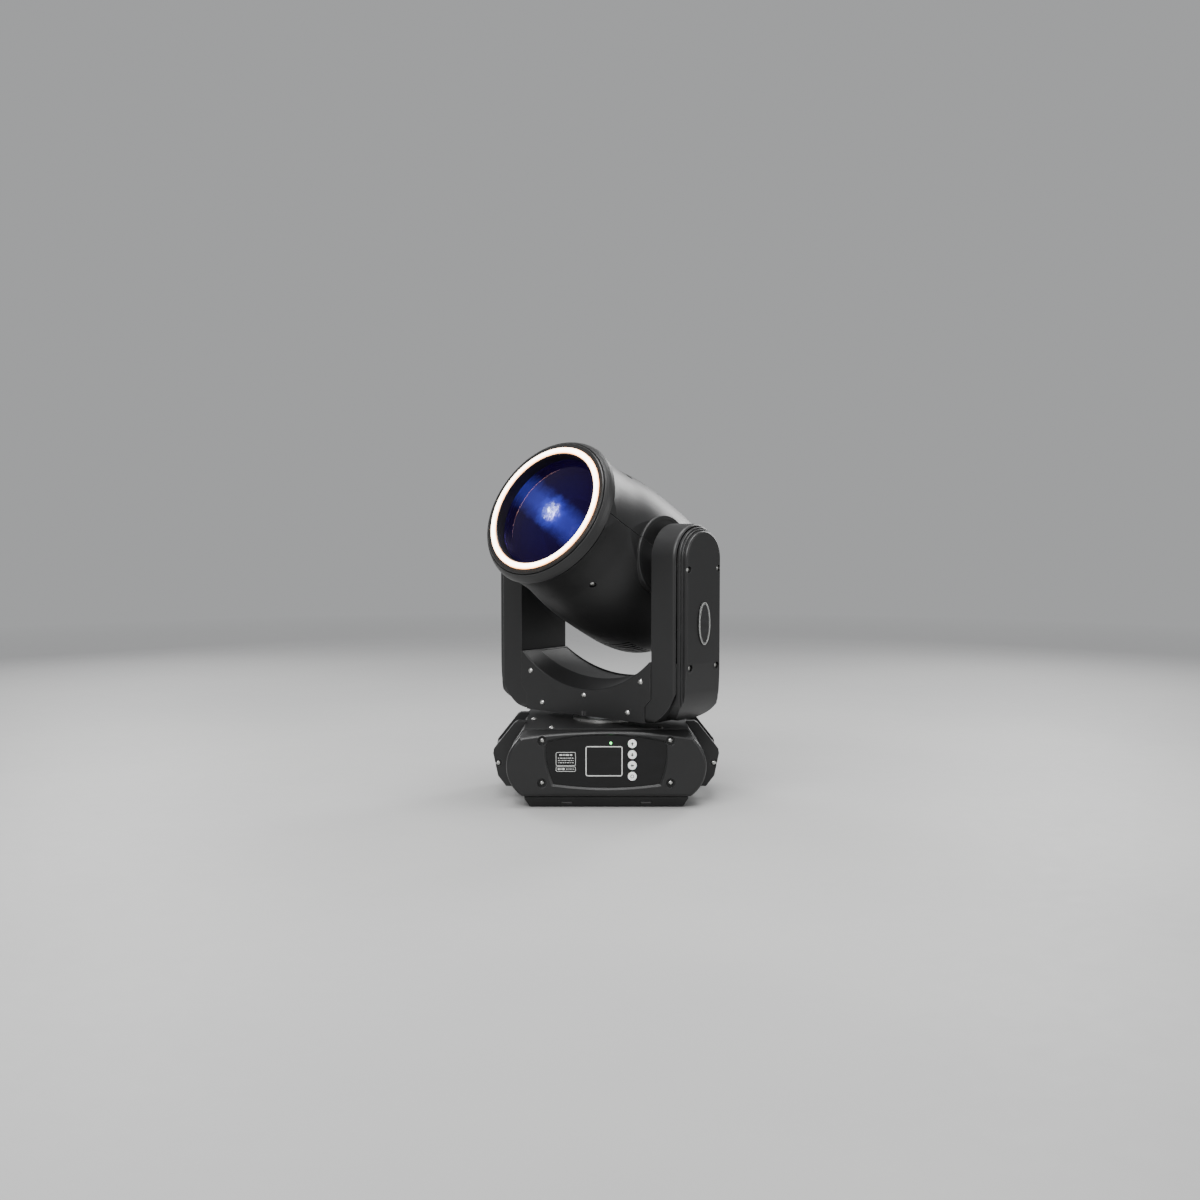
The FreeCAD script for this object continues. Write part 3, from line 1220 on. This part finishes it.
# ---------------------------------------------------------------- assembly
def base_nodes():
    outer, housing = base_housing()
    side = base_side_cover(outer, housing)
    handle = carry_handle()
    nodes = {
        "base_bottom_plate": base_bottom_plate(),
        "base_top_cover": base_top_cover(housing),
        "base_side_cover_right": side,
        "base_side_cover_left": mirrored_x(side),
        "carry_handles": Part.makeCompound([handle, mirrored_x(handle)]),
        "front_fascia": front_fascia(),
        "rear_panel": rear_panel(),
        "display_window": display_window(),
        "display_module": display_module(),
        "control_board": control_board(),
        "status_led": status_led(),
        "rubber_feet": rubber_feet(),
        "bracket_sockets": bracket_sockets(),
        "base_screws": screw_set(fascia_screw_places() + top_screw_places() + handle_screw_places()
                                 + rear_screw_places()),
        "power_sockets": Part.makeCompound([power_socket(INLET_AT), power_socket(OUTLET_AT)]),
        "data_sockets": Part.makeCompound([data_socket(DATA_IN_AT, True),
                                           data_socket(DATA_OUT_AT, False)]),
        "fuse_holder": fuse_holder(),
        "power_rocker": power_rocker(),
        "power_supply": power_supply(),
        "pan_motor": pan_motor(),
        "pan_motor_pulley": pan_motor_pulley(),
        "pan_belt": pan_belt(),
        "pan_bearing": pan_bearing(),
    }
    for name, z in zip(BUTTON_NAMES, BUTTON_Z):
        nodes[name] = push_button(z)
    return nodes


def yoke_nodes():
    shell = arm_shell()
    panel = arm_side_panel()
    badge = arm_badge()
    screws = screw_set(cover_screw_places() + panel_screw_places(1) + panel_screw_places(-1))
    local = {
        "pan_shaft": pan_shaft(),
        "yoke_frame": yoke_frame(),
        "yoke_front_cover": yoke_front_cover(),
        "yoke_rear_cover": yoke_rear_cover(),
        "arm_shell_right": shell,
        "arm_shell_left": mirrored_x(shell),
        "arm_side_panel_right": panel,
        "arm_side_panel_left": mirrored_x(panel),
        "arm_badges": Part.makeCompound([badge, mirrored_x(badge)]),
        "yoke_screws": screws,
        "tilt_motor": tilt_motor(),
        "tilt_motor_pulley": tilt_motor_pulley(),
        "tilt_belt": tilt_belt(),
        "tilt_bearings": tilt_bearings(),
    }
    return {name: to_yoke(shape) for name, shape in local.items()}


def head_nodes():
    shell = head_shell()
    local = {
        "head_upper_shell": head_upper_shell(shell),
        "head_lower_shell": head_lower_shell(shell),
        "front_collar": front_collar(),
        "front_bezel": front_bezel(),
        "halo_ring": halo_ring(),
        "halo_led_board": halo_led_board(),
        "front_lens": front_lens(),
        "optics_frame": optics_frame(),
        "tilt_shafts": tilt_shafts(),
        "led_engine": led_engine(),
        "heatsink": heatsink(),
        "fan_frame": fan_frame(),
        "fan_rotor": fan_rotor(),
        "colour_wheel": effect_wheel(COLOUR_A, -WHEEL_OFFSET),
        "gobo_wheel": effect_wheel(GOBO_A, WHEEL_OFFSET),
        "effect_motors": effect_motors(),
        "focus_carriage": focus_carriage(),
        "focus_lens": focus_lens(),
        "head_screws": screw_set(head_screw_places()),
    }
    return {name: to_head(shape) for name, shape in local.items()}


def main():
    os.makedirs("parts", exist_ok=True)
    nodes = {}
    nodes.update(base_nodes())
    nodes.update(yoke_nodes())
    nodes.update(head_nodes())
    for name, shape in nodes.items():
        shape.exportStep(os.path.join("parts", name + ".step"))
        sound = all(solid.isValid() and solid.Volume > 0 for solid in shape.Solids)
        print(f"{name:24s} solids {len(shape.Solids):3d} volume {shape.Volume / 1000:9.2f} cm3 "
              f"{'ok' if sound and shape.Solids else 'BROKEN'}")
    print(len(nodes), "nodes")


main()
